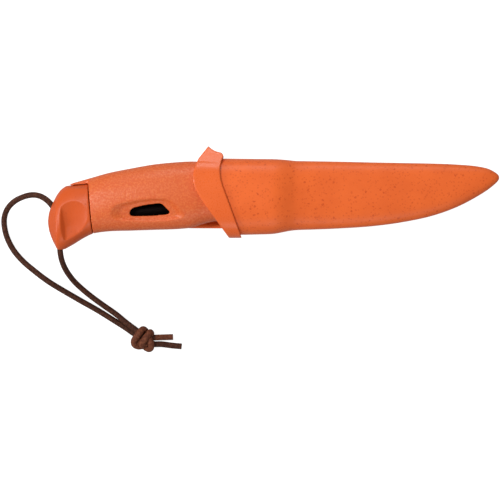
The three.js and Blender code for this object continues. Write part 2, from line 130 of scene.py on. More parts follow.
SHEATH_RIBS = [
    (-46.0, 21.6, -46.0, -19.2, 13.9),
    (-26.0, 21.2, -26.0, -19.4, 13.8),
    (-10.0, 21.0, -10.0, -19.2, 13.6),
    (0.0, 20.9, 0.0, -18.8, 13.3),
    (4.0, 20.7, 4.0, -18.1, 12.5),
    (7.5, 20.4, 7.5, -17.4, 11.4),
    (11.0, 20.0, 11.0, -16.9, 10.4),
    (15.0, 19.9, 15.0, -16.7, 9.8),
    (22.0, 19.8, 22.0, -16.5, 9.1),
    (34.0, 19.6, 34.0, -16.0, 8.4),
    (52.0, 19.2, 52.0, -14.8, 7.9),
    (68.0, 18.9, 68.0, -12.7, 7.4),
    (84.0, 18.6, 84.0, -9.3, 6.9),
    (97.0, 18.1, 97.0, -4.7, 6.4),
    (107.5, 17.2, 108.0, 1.0, 5.8),
    (114.0, 15.8, 115.0, 5.6, 5.0),
    (118.3, 13.4, 119.0, 9.2, 3.6),
    (119.7, 11.9, 119.9, 10.6, 2.2),
]

# Routes of the lanyard, in metres: its two legs run from the middle of the tunnel to the knot
UPPER_LEG = [
    (-0.1150, -0.0136, 0.0230), (-0.1157, -0.0090, 0.0230), (-0.1170, -0.0056, 0.0230),
    (-0.1190, -0.0027, 0.0230), (-0.1216, -0.0003, 0.0226), (-0.1252, 0.0015, 0.0210),
    (-0.1294, 0.0020, 0.0182), (-0.1345, 0.0010, 0.0140), (-0.1401, -0.0016, 0.0088),
    (-0.1441, -0.0057, 0.0046), (-0.1459, -0.0111, 0.0022), (-0.1449, -0.0189, 0.0016),
    (-0.1414, -0.0266, 0.0016), (-0.1362, -0.0330, 0.0016), (-0.1295, -0.0388, 0.0016),
    (-0.1219, -0.0445, 0.0016), (-0.1134, -0.0497, 0.0016), (-0.1046, -0.0548, 0.0016),
    (-0.0952, -0.0601, 0.0016), (-0.0862, -0.0657, 0.0016), (-0.0802, -0.0695, 0.0016),
    (-0.0772, -0.0716, 0.0017),
]
LOWER_LEG = [
    (-0.1149, -0.0143, 0.0230), (-0.1144, -0.0190, 0.0230), (-0.1140, -0.0240, 0.0230),
    (-0.1138, -0.0282, 0.0227), (-0.1134, -0.0316, 0.0210), (-0.1127, -0.0348, 0.0178),
    (-0.1116, -0.0379, 0.0138), (-0.1099, -0.0411, 0.0096), (-0.1075, -0.0445, 0.0060),
    (-0.1041, -0.0480, 0.0034), (-0.0997, -0.0518, 0.0020), (-0.0926, -0.0571, 0.0016),
    (-0.0854, -0.0621, 0.0020), (-0.0805, -0.0660, 0.0038), (-0.0760, -0.0694, 0.0046),
]
SHORT_TAIL = [
    (-0.0643, -0.0748, 0.0026), (-0.0612, -0.0747, 0.0018),
    (-0.0578, -0.0746, 0.0016), (-0.0545, -0.0745, 0.0016),
]
LONG_TAIL = [
    (-0.0644, -0.0784, 0.0026), (-0.0608, -0.0784, 0.0018),
    (-0.0552, -0.0791, 0.0016), (-0.0498, -0.0796, 0.0016),
]
KNOT_WRAPS = [
    [
        (-0.0688, -0.0722, 0.0022), (-0.0696, -0.0708, 0.0036), (-0.0707, -0.0703, 0.0053),
        (-0.0721, -0.0717, 0.0067), (-0.0738, -0.0739, 0.0069), (-0.0753, -0.0763, 0.0058),
        (-0.0751, -0.0785, 0.0039), (-0.0731, -0.0795, 0.0027), (-0.0705, -0.0790, 0.0022),
    ],
    [
        (-0.0672, -0.0738, 0.0024), (-0.0663, -0.0727, 0.0037), (-0.0667, -0.0719, 0.0053),
        (-0.0680, -0.0735, 0.0067), (-0.0697, -0.0757, 0.0068), (-0.0711, -0.0780, 0.0056),
        (-0.0707, -0.0793, 0.0038), (-0.0690, -0.0790, 0.0024),
    ],
    [
        (-0.0680, -0.0742, 0.0040), (-0.0669, -0.0760, 0.0054), (-0.0662, -0.0782, 0.0055),
        (-0.0664, -0.0801, 0.0043), (-0.0675, -0.0809, 0.0027), (-0.0696, -0.0800, 0.0022),
    ],
    [(-0.0747, -0.0742, 0.0036), (-0.0718, -0.0765, 0.0045), (-0.0684, -0.0785, 0.0036)],
    [(-0.0752, -0.0757, 0.0032), (-0.0733, -0.0774, 0.0036), (-0.0708, -0.0786, 0.0032)],
]
KNOT_CORE = [
    [
        (-0.0772, -0.0716, 0.0017), (-0.0735, -0.0737, 0.0028),
        (-0.0690, -0.0745, 0.0036), (-0.0643, -0.0748, 0.0026),
    ],
    [
        (-0.0760, -0.0694, 0.0046), (-0.0725, -0.0722, 0.0050),
        (-0.0690, -0.0762, 0.0044), (-0.0644, -0.0784, 0.0026),
    ],
]


# Curves and solids, in millimetres


def spline(points, places):
    """Centripetal Catmull-Rom curve through points, at places from 0 to 1."""
    p = np.array(points, float)
    p = np.vstack([2 * p[0] - p[1], p, 2 * p[-1] - p[-2]])
    spot = np.clip(np.asarray(places, float), 0, 1) * (len(p) - 3)
    first = np.minimum(spot.astype(int), len(p) - 4)
    t = (spot - first)[:, None]
    a, b, c, d = (p[first + k] for k in range(4))
    lengths = [np.linalg.norm(v - u, axis=1)[:, None] for u, v in ((a, b), (b, c), (c, d))]
    gap = [np.maximum(length**0.5, 1e-4) for length in lengths]
    start = ((b - a) / gap[0] - (c - a) / (gap[0] + gap[1]) + (c - b) / gap[1]) * gap[1]
    end = ((c - b) / gap[1] - (d - b) / (gap[1] + gap[2]) + (d - c) / gap[2]) * gap[1]
    return b + start * t + (3 * (c - b) - 2 * start - end) * t**2 + (2 * (b - c) + start + end) * t**3


def new_object(name, vertices, faces):
    mesh = bpy.data.meshes.new(name)
    mesh.from_pydata([tuple(v) for v in vertices], [], faces)
    shape = bmesh.new()
    shape.from_mesh(mesh)
    bmesh.ops.recalc_face_normals(shape, faces=shape.faces)
    shape.to_mesh(mesh)
    shape.free()
    made = bpy.data.objects.new(name, mesh)
    bpy.context.scene.collection.objects.link(made)
    return made


def skin(name, rings):
    """Closed skin over rings, an array of [ring, side, xyz]."""
    count, sides = rings.shape[:2]
    faces = []
    for ring in range(count - 1):
        for side in range(sides):
            a = ring * sides + side
            b = ring * sides + (side + 1) % sides
            faces.append((a, b, b + sides, a + sides))
    faces.append(tuple(reversed(range(sides))))
    faces.append(tuple(range((count - 1) * sides, count * sides)))
    return new_object(name, rings.reshape(-1, 3), faces)


def signed_power(value, exponent):
    return np.sign(value) * np.abs(value) ** exponent


def loft(name, ribs, squareness, grow=0.0, steps=220, sides=96, to=1.0):
    """Smooth body through ribs, with a rounded-oval section."""
    places = np.linspace(0, to, steps + 1)
    upper = spline([(r[0], r[1], r[4]) for r in ribs], places)
    lower = spline([(r[2], r[3], 0) for r in ribs], places)
    across = upper[:, :2] - lower[:, :2]
    length = np.linalg.norm(across, axis=1)[:, None]
    middle = (upper[:, :2] + lower[:, :2]) / 2
    angle = np.linspace(0, 2 * math.pi, sides, endpoint=False)
    up = signed_power(np.cos(angle), 2 / squareness)[None, :, None]
    out = signed_power(np.sin(angle), 2 / squareness)[None, :]
    flat = middle[:, None] + (across / length)[:, None] * (length / 2 + grow)[:, None] * up
    high = MID + (upper[:, 2:] + grow) * out
    return skin(name, np.concatenate([flat, high[..., None]], axis=2))


def block(x0, x1, y0, y1, z0, z1):
    corners = [(x, y, z) for x in (x0, x1) for y in (y0, y1) for z in (z0, z1)]
    faces = [(0, 1, 3, 2), (4, 6, 7, 5), (0, 4, 5, 1), (2, 3, 7, 6), (0, 2, 6, 4), (1, 5, 7, 3)]
    return new_object("block", corners, faces)


def prism(outline, z0, z1):
    """Outline in the X-Y plane, anticlockwise, raised from z0 to z1."""
    count = len(outline)
    vertices = [(x, y, z) for z in (z0, z1) for x, y in outline]
    faces = [(i, (i + 1) % count, (i + 1) % count + count, i + count) for i in range(count)]
    faces.append(tuple(reversed(range(count))))
    faces.append(tuple(range(count, 2 * count)))
    return new_object("prism", vertices, faces)


def bezier(start, *controls, count=16):
    """Points of a Bezier curve of any degree, without its start."""
    points = np.array([start, *controls], float)
    degree = len(points) - 1
    t = np.linspace(0, 1, count + 1)[1:, None]
    total = sum(
        math.comb(degree, k) * t**k * (1 - t) ** (degree - k) * points[k] for k in range(degree + 1)
    )
    return [tuple(p) for p in total]


def ellipsoid(centre, half, lean):
    """Ellipsoid that leans about the X direction."""
    made = new_object("ellipsoid", [], [])
    shape = bmesh.new()
    bmesh.ops.create_uvsphere(shape, u_segments=96, v_segments=64, radius=1)
    shape.to_mesh(made.data)
    shape.free()
    turn = Matrix.Rotation(lean, 4, "X")
    made.data.transform(Matrix.Translation(centre) @ turn @ Matrix.Diagonal((*half, 1)))
    return made


def tube(points, diameter, steps, sides):
    """Straight or curved round bar through points."""
    path = spline(points, np.linspace(0, 1, steps + 1))
    heading = np.gradient(path, axis=0)
    heading /= np.linalg.norm(heading, axis=1)[:, None]
    side = np.cross(heading, [0, 0, 1])
    side /= np.linalg.norm(side, axis=1)[:, None]
    top = np.cross(side, heading)
    angle = np.linspace(0, 2 * math.pi, sides, endpoint=False)
    spokes = np.cos(angle)[None, :, None] * side[:, None] + np.sin(angle)[None, :, None] * top[:, None]
    return skin("tube", path[:, None] + spokes * diameter / 2)


def along_rod(profile, sides=96):
    """Turned body about the rod's axis from (distance in front of the joint, radius) points."""
    forward = np.array([math.cos(ROD_TILT), math.sin(ROD_TILT), 0])
    side = np.array([-math.sin(ROD_TILT), math.cos(ROD_TILT), 0])
    seam_y = WINDOW_CENTRE[1] + (SEAM_X - WINDOW_CENTRE[0]) * math.tan(ROD_TILT)
    origin = np.array([SEAM_X, seam_y, MID])
    angle = np.linspace(0, 2 * math.pi, sides, endpoint=False)[:, None]
    round_ = np.cos(angle) * side + np.sin(angle) * np.array([0, 0, 1])
    rings = np.array([origin + forward * distance + round_ * radius for distance, radius in profile])
    return skin("turned", rings)


def rod_cylinder(radius, rear, front):
    return along_rod([(rear, radius), (front, radius)])


def behind_rod_plane(distance):
    """Everything behind a plane square to the rod."""
    return along_rod([(distance - FAR, FAR), (distance, FAR)], sides=4)


def combine(kind, body, *tools):
    """Cuts, joins or intersects body with each tool, and deletes the tools."""
    for tool in tools:
        change = body.modifiers.new("combine", "BOOLEAN")
        change.operation = kind
        change.solver = "MANIFOLD"
        change.object = tool
        keep_evaluated(body)
        bpy.data.objects.remove(tool)
    return body


def keep_evaluated(body):
    """Applies the modifiers of body."""
    seen = body.evaluated_get(bpy.context.evaluated_depsgraph_get())
    mesh = bpy.data.meshes.new_from_object(seen)
    body.modifiers.clear()
    body.data = mesh


def cut(body, *tools):
    return combine("DIFFERENCE", body, *tools)


def join(body, *tools):
    return combine("UNION", body, *tools)


def common(body, *tools):
    return combine("INTERSECT", body, *tools)


def soften(body, voxel, rounds):
    """Even mesh with moulded, slightly rounded edges."""
    even = body.modifiers.new("even", "REMESH")
    even.mode = "VOXEL"
    even.voxel_size = voxel * 1
    even.use_smooth_shade = True
    smooth = body.modifiers.new("smooth", "SMOOTH")
    smooth.factor = 0.5
    smooth.iterations = max(1, rounds // (1))
    keep_evaluated(body)
    return body


def as_piece(body, name, material, rides_on, stands_for):
    """Turns a millimetre shape into a piece of the object, in metres."""
    body.name = name
    body.data.name = name
    body.data.transform(Matrix.Scale(MM, 4))
    for face in body.data.polygons:
        face.use_smooth = True
    body.data.materials.clear()
    body.data.materials.append(material)
    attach(body, rides_on)
    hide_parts(stands_for)
    return body


def bevelled(body, width):
    """Small rounded edges on a body with flat faces."""
    edge = body.modifiers.new("edge", "BEVEL")
    edge.width = width
    edge.segments = 3
    edge.limit_method = "ANGLE"
    edge.angle_limit = math.radians(20)
    keep_evaluated(body)
    return body


def cord_curve(name, strands, material, stands_for, diameter=CORD_DIAMETER):
    """Round leather cord along each strand of points, in metres, with its diameter in millimetres."""
    line = bpy.data.curves.new(name, "CURVE")
    line.dimensions = "3D"
    line.bevel_depth = diameter * MM / 2
    line.bevel_resolution = 6
    line.use_fill_caps = True
    for strand in strands:
        path = spline(strand, np.linspace(0, 1, 8 * len(strand)))
        run = line.splines.new("POLY")
        run.points.add(len(path) - 1)
        for point, place in zip(run.points, path, strict=True):
            point.co = (*place, 1)
        run.use_smooth = True
    line.materials.append(material)
    made = bpy.data.objects.new(name, line)
    bpy.context.scene.collection.objects.link(made)
    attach(made, "striker")
    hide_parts(stands_for)
    return made


# Shapes


def sheath_loft(grow, to=1.0):
    return loft("sheath", SHEATH_RIBS, SHEATH_SQUARENESS, grow, to=to)


def handle_loft(grow):
    return loft("handle", HANDLE_RIBS, HANDLE_SQUARENESS, grow)


def mouth_edge(shift=0.0):
    """The mouth's edge, which slants from the lower side to a hump near the top."""
    bend = (-37.6, -1.9)
    points = [(-23.6, -21.5), bend, *bezier(bend, (-42.6, 5.8), (-45.2, 9.6), (-40.0, 20.9))]
    return [(x + shift, y) for x, y in points]


def collar_outline():
    tip = (-34.8, 27.7)
    notch = (-26.8, 22.6)
    return [
        (-17.0, -21.5),
        *mouth_edge(),
        tip,
        *bezier(tip, (-32.4, 24.8), (-27.9, 24.1)),
        notch,
        *bezier(notch, (-29.4, 15.5), (-29.2, 11.8), (-26.6, 4.5)),
    ]


def sheath_shell():
    """Hollow sheath, open from its slanted mouth rearwards but for a lip at the back."""
    above_mouth = (-38.0, REACH)
    before_mouth = [(-LONG_REACH, -REACH), *mouth_edge(MOUTH_STEP), above_mouth, (-LONG_REACH, REACH)]
    drain = tube([(111, DRAIN_Y, MID), (123, DRAIN_Y, MID)], DRAIN_DIAMETER, steps=2, sides=32)
    shell = cut(
        sheath_loft(0),
        sheath_loft(-SHEATH_WALL, to=HOLLOW_SHARE),
        prism(before_mouth, MID - LIP_DEPTH, MID + REACH),
        drain,
    )
    return soften(shell, voxel=0.6, rounds=4)


def spur_room():
    """Space over the top of the collar, which narrows upwards from the collar's own curve."""
    half = [(16.0, 12.5), (17.2, 12.5), (28.0, 6.0)]  # height in Y, half width
    section = half + [(y, -z) for y, z in reversed(half)]
    return skin("spur", np.array([[(x, y, MID + z) for y, z in section] for x in (-LONG_REACH, 0.0)]))


def collar():
    """Raised band round the sheath's mouth, with a spur on top."""
    band = join(sheath_loft(GAP + COLLAR_HEIGHT), spur_room())
    band = common(band, prism(collar_outline(), MID - REACH, MID + REACH))
    return soften(cut(band, sheath_loft(GAP)), voxel=0.27, rounds=10)


def belt_clip():
    """Side outline of the clip, raised across its width, with a sunk panel outside."""
    rear, bridge, straight_end, thick = -43.0, 7.0, 13.0, 2.8
    low, high = -8.0, 13.0
    root = rear + bridge
    inside_collar = 12.0  # the bridge is cut back from here to just clear of the collar
    heel = 2.6  # radius of the outer corner
    fillet = 1.5  # radius of the inner corner
    crest = (34, 8)  # outer face, where the clip is nearest to the sheath
    crest_inside = (34, 8 + thick)
    lip = (43.6, 7.6)
    outline = [
        (rear, inside_collar),
        (rear, heel),
        *bezier((rear, heel), (rear, 0), (rear + heel, 0)),
        *bezier((straight_end, 0), (22, 0), (26, 7.8), crest),
        *bezier(crest, (38.5, 8), (42, 5.4)),
        lip,
        *bezier(lip, (39.5, 10.8), crest_inside),
        *bezier(crest_inside, (25, 7.8 + thick), (21, thick), (straight_end, thick)),
        (root + fillet, thick),
        *bezier((root + fillet, thick), (root, thick), (root, thick + fillet)),
        (root, inside_collar),
    ]
    clip = prism(outline, -high, -low)
    clip.data.transform(Matrix.Rotation(math.radians(90), 4, "X"))
    frame_width, sunk = 3.5, 0.7
    panel = block(-37, 9, low + frame_width, high - frame_width, -OVERLAP, sunk)
    return soften(cut(clip, sheath_loft(COLLAR_HEIGHT + 2 * GAP), panel), voxel=0.33, rounds=4)


def window_outline(margin=0.0):
    """Window through which the rod shows, from its lower rear corner round the rear."""
    start = (-74.4, WINDOW_LOW)
    outline = smooth_outline(
        start,
        ((-76.6, WINDOW_LOW), (-76.1, -7.3)),
        ((-75.7, -5.5), (-73.6, -4.9)),
        ((-67.5, -3.3), (-61.2, -2.8)),
        ((-59.6, -2.7), (-58.6, -3.7)),
        ((-57.4, -5.0), (-55.6, -6.8)),
        ((-54.2, -8.2), (-56.9, -8.5)),
        ((-63.7, -9.5), start),
    )
    away = np.array(outline) - WINDOW_CENTRE
    near = 8  # points further out than this move by more than the margin, in proportion
    reach = np.minimum(np.linalg.norm(away, axis=1), near)[:, None]
    return [tuple(p) for p in outline + away * margin / reach]


def window_hole(margin):
    """The window's opening through the whole handle, larger all round by a margin."""
    return prism(window_outline(margin), 0, LONG_REACH)


def recess_outline():
    """Rim of the thumb recess round the window, with as many points as the window."""
    start = (-80.0, -11.8)
    return smooth_outline(
        start,
        ((-86.4, -11.4), (-86.6, -8.3)),
        ((-86.6, -4.4), (-81.0, -3.0)),
        ((-70.0, -0.2), (-60.5, -0.4)),
        ((-57.2, -0.4), (-54.4, -1.3)),
        ((-50.8, -3.6), (-48.2, -7.4)),
        ((-46.6, -10.2), (-50.6, -10.9)),
        ((-61.0, -13.2), start),
    )


def smooth_outline(start, *bends):
    """Closed outline of quadratic curves, each given by its control point and end."""
    points = []
    here = start
    for control, end in bends:
        points += bezier(here, control, end, count=10)
        here = end
    return points


def handle_height(x, y):
    """Height of the handle's surface over the middle plane, along its straight part."""
    upper_x, upper_y, _, lower_y, half_thickness = zip(*HANDLE_RIBS, strict=True)
    top, bottom, half = (np.interp(x, upper_x, row) for row in (upper_y, lower_y, half_thickness))
    across = abs(2 * y - top - bottom) / (top - bottom)
    return half * (1 - across**HANDLE_SQUARENESS) ** (1 / HANDLE_SQUARENESS)


def thumb_recess(side):
    """Funnel from the window, which is sunk towards the lower side, up to the recess's rim."""
    sunk = [(x, y, SUNK_LOW + SUNK_RISE * (y - WINDOW_LOW)) for x, y in window_outline()]
    halfway, rim = [], []
    for low, (x, y) in zip(sunk, recess_outline(), strict=True):
        high = (x, y, handle_height(x, y))
        halfway.append([(a + b) / 2 for a, b in zip(low, high, strict=True)])
        halfway[-1][2] -= RECESS_DISH
        rim.append(high)
    above = [(x, y, REACH) for x, y, _ in rim]
    rings = np.array([sunk, halfway, rim, above])
    rings[..., 2] = MID + side * rings[..., 2]
    return skin("recess", rings)


def core_room(grow):
    """Space of the hard core inside the grip, larger all round by grow."""
    body = handle_loft(grow - GRIP_THICKNESS)
    edge = 40.0  # past the handle's edges
    return common(body, block(CORE_REAR - grow, CORE_FRONT + grow, -edge, edge, 0, LONG_REACH))


def rod_room():
    """Bore for the rod, with a wider mouth for the butt's spigot."""
    bore = rod_cylinder(ROD_RADIUS + GAP, -OVERLAP, ROD_FRONT + ROD_END_ROOM)
    return join(bore, rod_cylinder(SPIGOT_RADIUS + GAP, -OVERLAP, SPIGOT_LENGTH + GAP))


def blade_room():
    """Slots for the tang and the shank, open at the handle's front."""
    half = BLADE_THICKNESS / 2 + GAP
    front = 2 * OVERLAP
    tang = block(TANG_REAR - GAP, front, TANG_LOW - GAP, TANG_HIGH + GAP, MID - half, MID + half)
    shank = block(SHANK_REAR - GAP, front, SHANK_LOW - GAP, BLADE_SPINE + GAP, MID - half, MID + half)
    return join(tang, shank)


def over_butt(radius, end, half_width):
    """Space above the butt, outside a radius about the rod."""
    front = SEAM_X + 5.0  # past the seam
    inside = -4.0  # closer to the rod than the radius is
    above = block(end, front, inside, REACH, MID - half_width, MID + half_width)
    return cut(above, rod_cylinder(radius, -REACH, REACH))


def grip():
    """Soft skin of the handle, with the tongue over the butt, the window and both thumb recesses."""
    tongue = over_butt(TONGUE_RADIUS, TONGUE_END, TONGUE_HALF_WIDTH)
    body = cut(
        handle_loft(0),
        cut(behind_rod_plane(0), tongue),
        core_room(GAP),
        window_hole(0),
        thumb_recess(1),
        thumb_recess(-1),
        rod_room(),
        blade_room(),
    )
    return soften(body, voxel=0.5, rounds=3)


def core():
    """Hard core of the handle."""
    body = cut(core_room(0), window_hole(0.5), rod_room(), blade_room())
    return soften(body, voxel=0.6, rounds=2)


def thumb_scoop(side):
    """Scoop with a sloping step at the rear, which runs out forwards."""
    lean = math.radians(10)  # its floor falls towards the butt's point
    bowl = ellipsoid((-107.4, -10.8, MID + side * 16.6), (13, 26, 8), side * lean)
    step_low, step_high = (-110.4, 8.0), (-112.7, 10.6)  # X, and height over the blade's plane
    front = -80.0  # past the bowl
    corners = [step_low, step_high, (step_high[0], REACH), (front, REACH), (front, step_low[1])]
    rings = np.array([[(x, y, MID + side * z) for x, z in corners] for y in (-LONG_REACH, LONG_REACH)])
    return common(bowl, skin("step", rings))


def striker():
    """Butt with a spigot, two thumb scoops, a bore for the rod and a tunnel for the lanyard."""
    ahead = cut(behind_rod_plane(FAR - GAP), behind_rod_plane(-GAP))
    past_sides = 20.0
    shelf = over_butt(TONGUE_RADIUS - GAP, TONGUE_END - TONGUE_ROOM, past_sides)
    body = cut(handle_loft(0), ahead, shelf)
    body = join(body, rod_cylinder(SPIGOT_RADIUS, -2 * OVERLAP, SPIGOT_LENGTH))
    route = [*reversed(LOWER_LEG[:5]), *UPPER_LEG[:6]]  # the lanyard's points in and near the butt
    tunnel = tube([[v / MM for v in point] for point in route], TUNNEL_DIAMETER, steps=60, sides=24)
    body = cut(
        body,
        thumb_scoop(1),
        thumb_scoop(-1),
        rod_cylinder(ROD_RADIUS + GAP, -ROD_REAR - GAP, SPIGOT_LENGTH + OVERLAP),
        tunnel,
    )
    return soften(body, voxel=0.3, rounds=9)


def rod():
    """Round striker rod with chamfered ends."""
    chamfer = 0.6
    ends = (-ROD_REAR, ROD_FRONT)
    return along_rod(
        [
            (ends[0], ROD_RADIUS - chamfer),
            (ends[0] + chamfer, ROD_RADIUS),
            (ends[1] - chamfer, ROD_RADIUS),
            (ends[1], ROD_RADIUS - chamfer),
        ]
    )


def blade_ring(x, edge):
    """Section across the blade at x, where its edge is at this height in Y."""
    half = BLADE_THICKNESS / 2
    part = min(max((x - DROP_START) / DROP_LENGTH, 0), 1)
    spine = BLADE_SPINE - SPINE_DROP * part * part * (3 - 2 * part)
    shoulder = min(edge + BEVEL_HEIGHT, edge + BEVEL_SHARE * (spine - edge))
    face = [(spine, half), (shoulder, half), (edge, EDGE_HALF)]
    section = face + [(y, -out) for y, out in reversed(face)]
    return [(x, y, MID + out) for y, out in section]


def blade():
    """Flat blade with a ground bevel, a straight shank and a tang."""
    heel = (BLADE_HEEL, BLADE_LOW)
    edge = [heel, *bezier(heel, (58, BLADE_LOW), (78, -8.8), (95, 7.2), count=90)]
    rings = [blade_ring(x, y) for x, y in edge[:-1]]  # one step short, so the point is slightly blunt
    half = BLADE_THICKNESS / 2
    body = join(
        skin("blade", np.array(rings)),
        block(TANG_REAR, BLADE_HEEL + 0.5, TANG_LOW, TANG_HIGH, MID - half, MID + half),
        block(SHANK_REAR, BLADE_HEEL + 0.01, SHANK_LOW, BLADE_SPINE, MID - half, MID + half),
    )
    bevelled(body, 0.18)
    body.data.set_sharp_from_angle(angle=math.radians(8))  # a crisp line along the bevel's shoulder
    return body


# Materials


def tone(code):
    """Linear colour of a six-digit sRGB code."""
    parts = [int(code[k : k + 2], 16) / 255 for k in (0, 2, 4)]
    return (*[((v + 0.055) / 1.055) ** 2.4 for v in parts], 1)


def new_material(name, specular, metallic=0.0):
    """Empty material, with its node tree and its shader."""
    made = bpy.data.materials.new(name)
    made.use_nodes = True
    shader = made.node_tree.nodes["Principled BSDF"]
    shader.inputs["Specular IOR Level"].default_value = specular
    shader.inputs["Metallic"].default_value = metallic
    return made, made.node_tree, shader


def scaled_place(tree, size, stretch):
    """Place on the object, where one unit is size millimetres."""
    place = tree.nodes.new("ShaderNodeTexCoord")
    scale = tree.nodes.new("ShaderNodeMapping")
    scale.inputs["Scale"].default_value = [1 / (size * MM * s) for s in stretch]
    tree.links.new(place.outputs["Object"], scale.inputs["Vector"])
    return scale.outputs["Vector"]


def grain(tree, size, detail=3.0, stretch=(1, 1, 1)):
    """Noise with features about size millimetres across."""
    texture = tree.nodes.new("ShaderNodeTexNoise")
    texture.inputs["Scale"].default_value = 1
    texture.inputs["Detail"].default_value = detail
    tree.links.new(scaled_place(tree, size, stretch), texture.inputs["Vector"])
    return texture.outputs["Fac"]


def fade(tree, value, start, end, low=0.0, high=1.0):
    """Maps value from start..end to low..high, smoothly."""
    change = tree.nodes.new("ShaderNodeMapRange")
    change.interpolation_type = "SMOOTHSTEP"
    limits = {"From Min": start, "From Max": end, "To Min": low, "To Max": high}
    for name, number in limits.items():
        change.inputs[name].default_value = number
    tree.links.new(value, change.inputs["Value"])
    return change.outputs["Result"]


def product(tree, first, second):
    """One value times another."""
    times = tree.nodes.new("ShaderNodeMath")
    times.operation = "MULTIPLY"
    tree.links.new(first, times.inputs[0])
    tree.links.new(second, times.inputs[1])
    return times.outputs["Value"]


def specks(tree, size, share):
    """1 on irregular specks that fill a share of cells size millimetres across, and 0 elsewhere."""
    bent = 0.9  # how far the noise bends the cells out of shape, in cells
    rim, heart = 0.42, 0.24  # distance from a cell's centre where a speck starts and is full
    softness = 0.02  # width of the step that picks cells by their random value
    bends = 1.7  # of the noise, per cell
    wobble = tree.nodes.new("ShaderNodeTexNoise")
    wobble.inputs["Scale"].default_value = bends
    spot = scaled_place(tree, size, (1, 1, 1))
    tree.links.new(spot, wobble.inputs["Vector"])
    bend = tree.nodes.new("ShaderNodeVectorMath")
    bend.operation = "MULTIPLY_ADD"
    bend.inputs[1].default_value = (bent, bent, bent)
    tree.links.new(wobble.outputs["Color"], bend.inputs[0])
    tree.links.new(spot, bend.inputs[2])
    cells = tree.nodes.new("ShaderNodeTexVoronoi")
    cells.inputs["Scale"].default_value = 1
    tree.links.new(bend.outputs["Vector"], cells.inputs["Vector"])
    split = tree.nodes.new("ShaderNodeSeparateColor")
    tree.links.new(cells.outputs["Color"], split.inputs["Color"])
    chosen = fade(tree, split.outputs["Red"], 1 - share, 1 + softness - share)
    return product(tree, chosen, fade(tree, cells.outputs["Distance"], rim, heart))


def blend_colours(tree, factor, first, second):
    """Mixes two colours, each a constant or the output of a node."""
    mix = tree.nodes.new("ShaderNodeMix")
    mix.data_type = "RGBA"
    share_socket, colour_sockets, result = 0, (6, 7), 2  # places of the Mix node's colour sockets
    tree.links.new(factor, mix.inputs[share_socket])
    for value, place in zip((first, second), colour_sockets, strict=True):
        if isinstance(value, tuple):
            mix.inputs[place].default_value = value
        else:
            tree.links.new(value, mix.inputs[place])
    return mix.outputs[result]


def bump(tree, shader, height, depth, below=None):
    """Raises the surface by depth millimetres where height is 1."""
    relief = tree.nodes.new("ShaderNodeBump")
    relief.inputs["Distance"].default_value = depth * MM
    tree.links.new(height, relief.inputs["Height"])
    if below is not None:
        tree.links.new(below, relief.inputs["Normal"])
    tree.links.new(relief.outputs["Normal"], shader.inputs["Normal"])
    return relief.outputs["Normal"]


def moulded_plastic(name, colour, speck_colour, share, roughness, grain_depth):
    """Wood-filled plastic with darker specks, cloudy tone and a fine moulded grain."""
    made, tree, shader = new_material(name, specular=0.3)
    light, dark = tone(colour), tone(speck_colour)
    cloud = fade(tree, grain(tree, 14, 4), 0.3, 0.7, high=0.2)
    small = fade(tree, specks(tree, 1.3, share), 0, 1, high=0.4)
    large = fade(tree, specks(tree, 1.9, share * 0.16), 0, 1, high=0.65)
    shown = light
    for factor in (cloud, small, large):
        shown = blend_colours(tree, factor, shown, dark)
    tree.links.new(shown, shader.inputs["Base Color"])
    gloss = fade(tree, grain(tree, 0.7), 0.3, 0.7, roughness - 0.06, roughness + 0.08)
    tree.links.new(gloss, shader.inputs["Roughness"])
    coarse = bump(tree, shader, grain(tree, 1.1, 2), grain_depth)
    bump(tree, shader, grain(tree, 0.3, 3), grain_depth * 0.6, coarse)
    return made


def grip_rubber():
    """Soft overmould whose rough grain catches the light in tiny points."""
    made, tree, shader = new_material("grip_rubber", specular=0.5)
    low, high, speck = tone("d2581e"), tone("dd6c32"), tone("c9552a")
    rough = grain(tree, 0.95, 4)
    base = blend_colours(tree, fade(tree, rough, 0.38, 0.7), low, high)
    spots = fade(tree, specks(tree, 1.0, 0.2), 0, 1, high=0.5)
    tree.links.new(blend_colours(tree, spots, base, speck), shader.inputs["Base Color"])
    gloss = fade(tree, rough, 0.35, 0.65, 0.55, 0.38)  # the grain's tops are the glossier
    tree.links.new(gloss, shader.inputs["Roughness"])
    coarse = bump(tree, shader, rough, 0.13)
    bump(tree, shader, grain(tree, 0.3, 2), 0.04, coarse)
    return made


def brushed_steel():
    """Finely ground steel, whose lines run across the blade."""
    made, tree, shader = new_material("brushed_steel", specular=0.5, metallic=1.0)
    clean, smudged = (0.40, 0.41, 0.42, 1), (0.33, 0.34, 0.355, 1)
    lines = grain(tree, 0.2, 4, (0.5, 40, 0.5))
    tree.links.new(fade(tree, lines, 0.3, 0.7, 0.44, 0.54), shader.inputs["Roughness"])
    smudge = fade(tree, grain(tree, 20, 3), 0.35, 0.7)
    tree.links.new(blend_colours(tree, smudge, clean, smudged), shader.inputs["Base Color"])
    bump(tree, shader, lines, 0.002)
    return made


def striker_metal():
    """Dark sintered rod with fine draw marks along it, its near-black colour partly painted shade."""
    made, tree, shader = new_material("striker_metal", specular=0.12, metallic=0.3)
    # reddish near-black: the rod's own dark grey, darkened further as painted shade for the inside of
    # the window where the rod shows
    dark, light = (0.004, 0.0015, 0.0015, 1), (0.012, 0.006, 0.005, 1)
    marks = grain(tree, 0.3, 4, (14, 1, 1))
    base = blend_colours(tree, fade(tree, marks, 0.4, 0.7), dark, light)
    tree.links.new(base, shader.inputs["Base Color"])
    tree.links.new(fade(tree, marks, 0.3, 0.7, 0.65, 0.5), shader.inputs["Roughness"])
    bump(tree, shader, marks, 0.03)
    return made


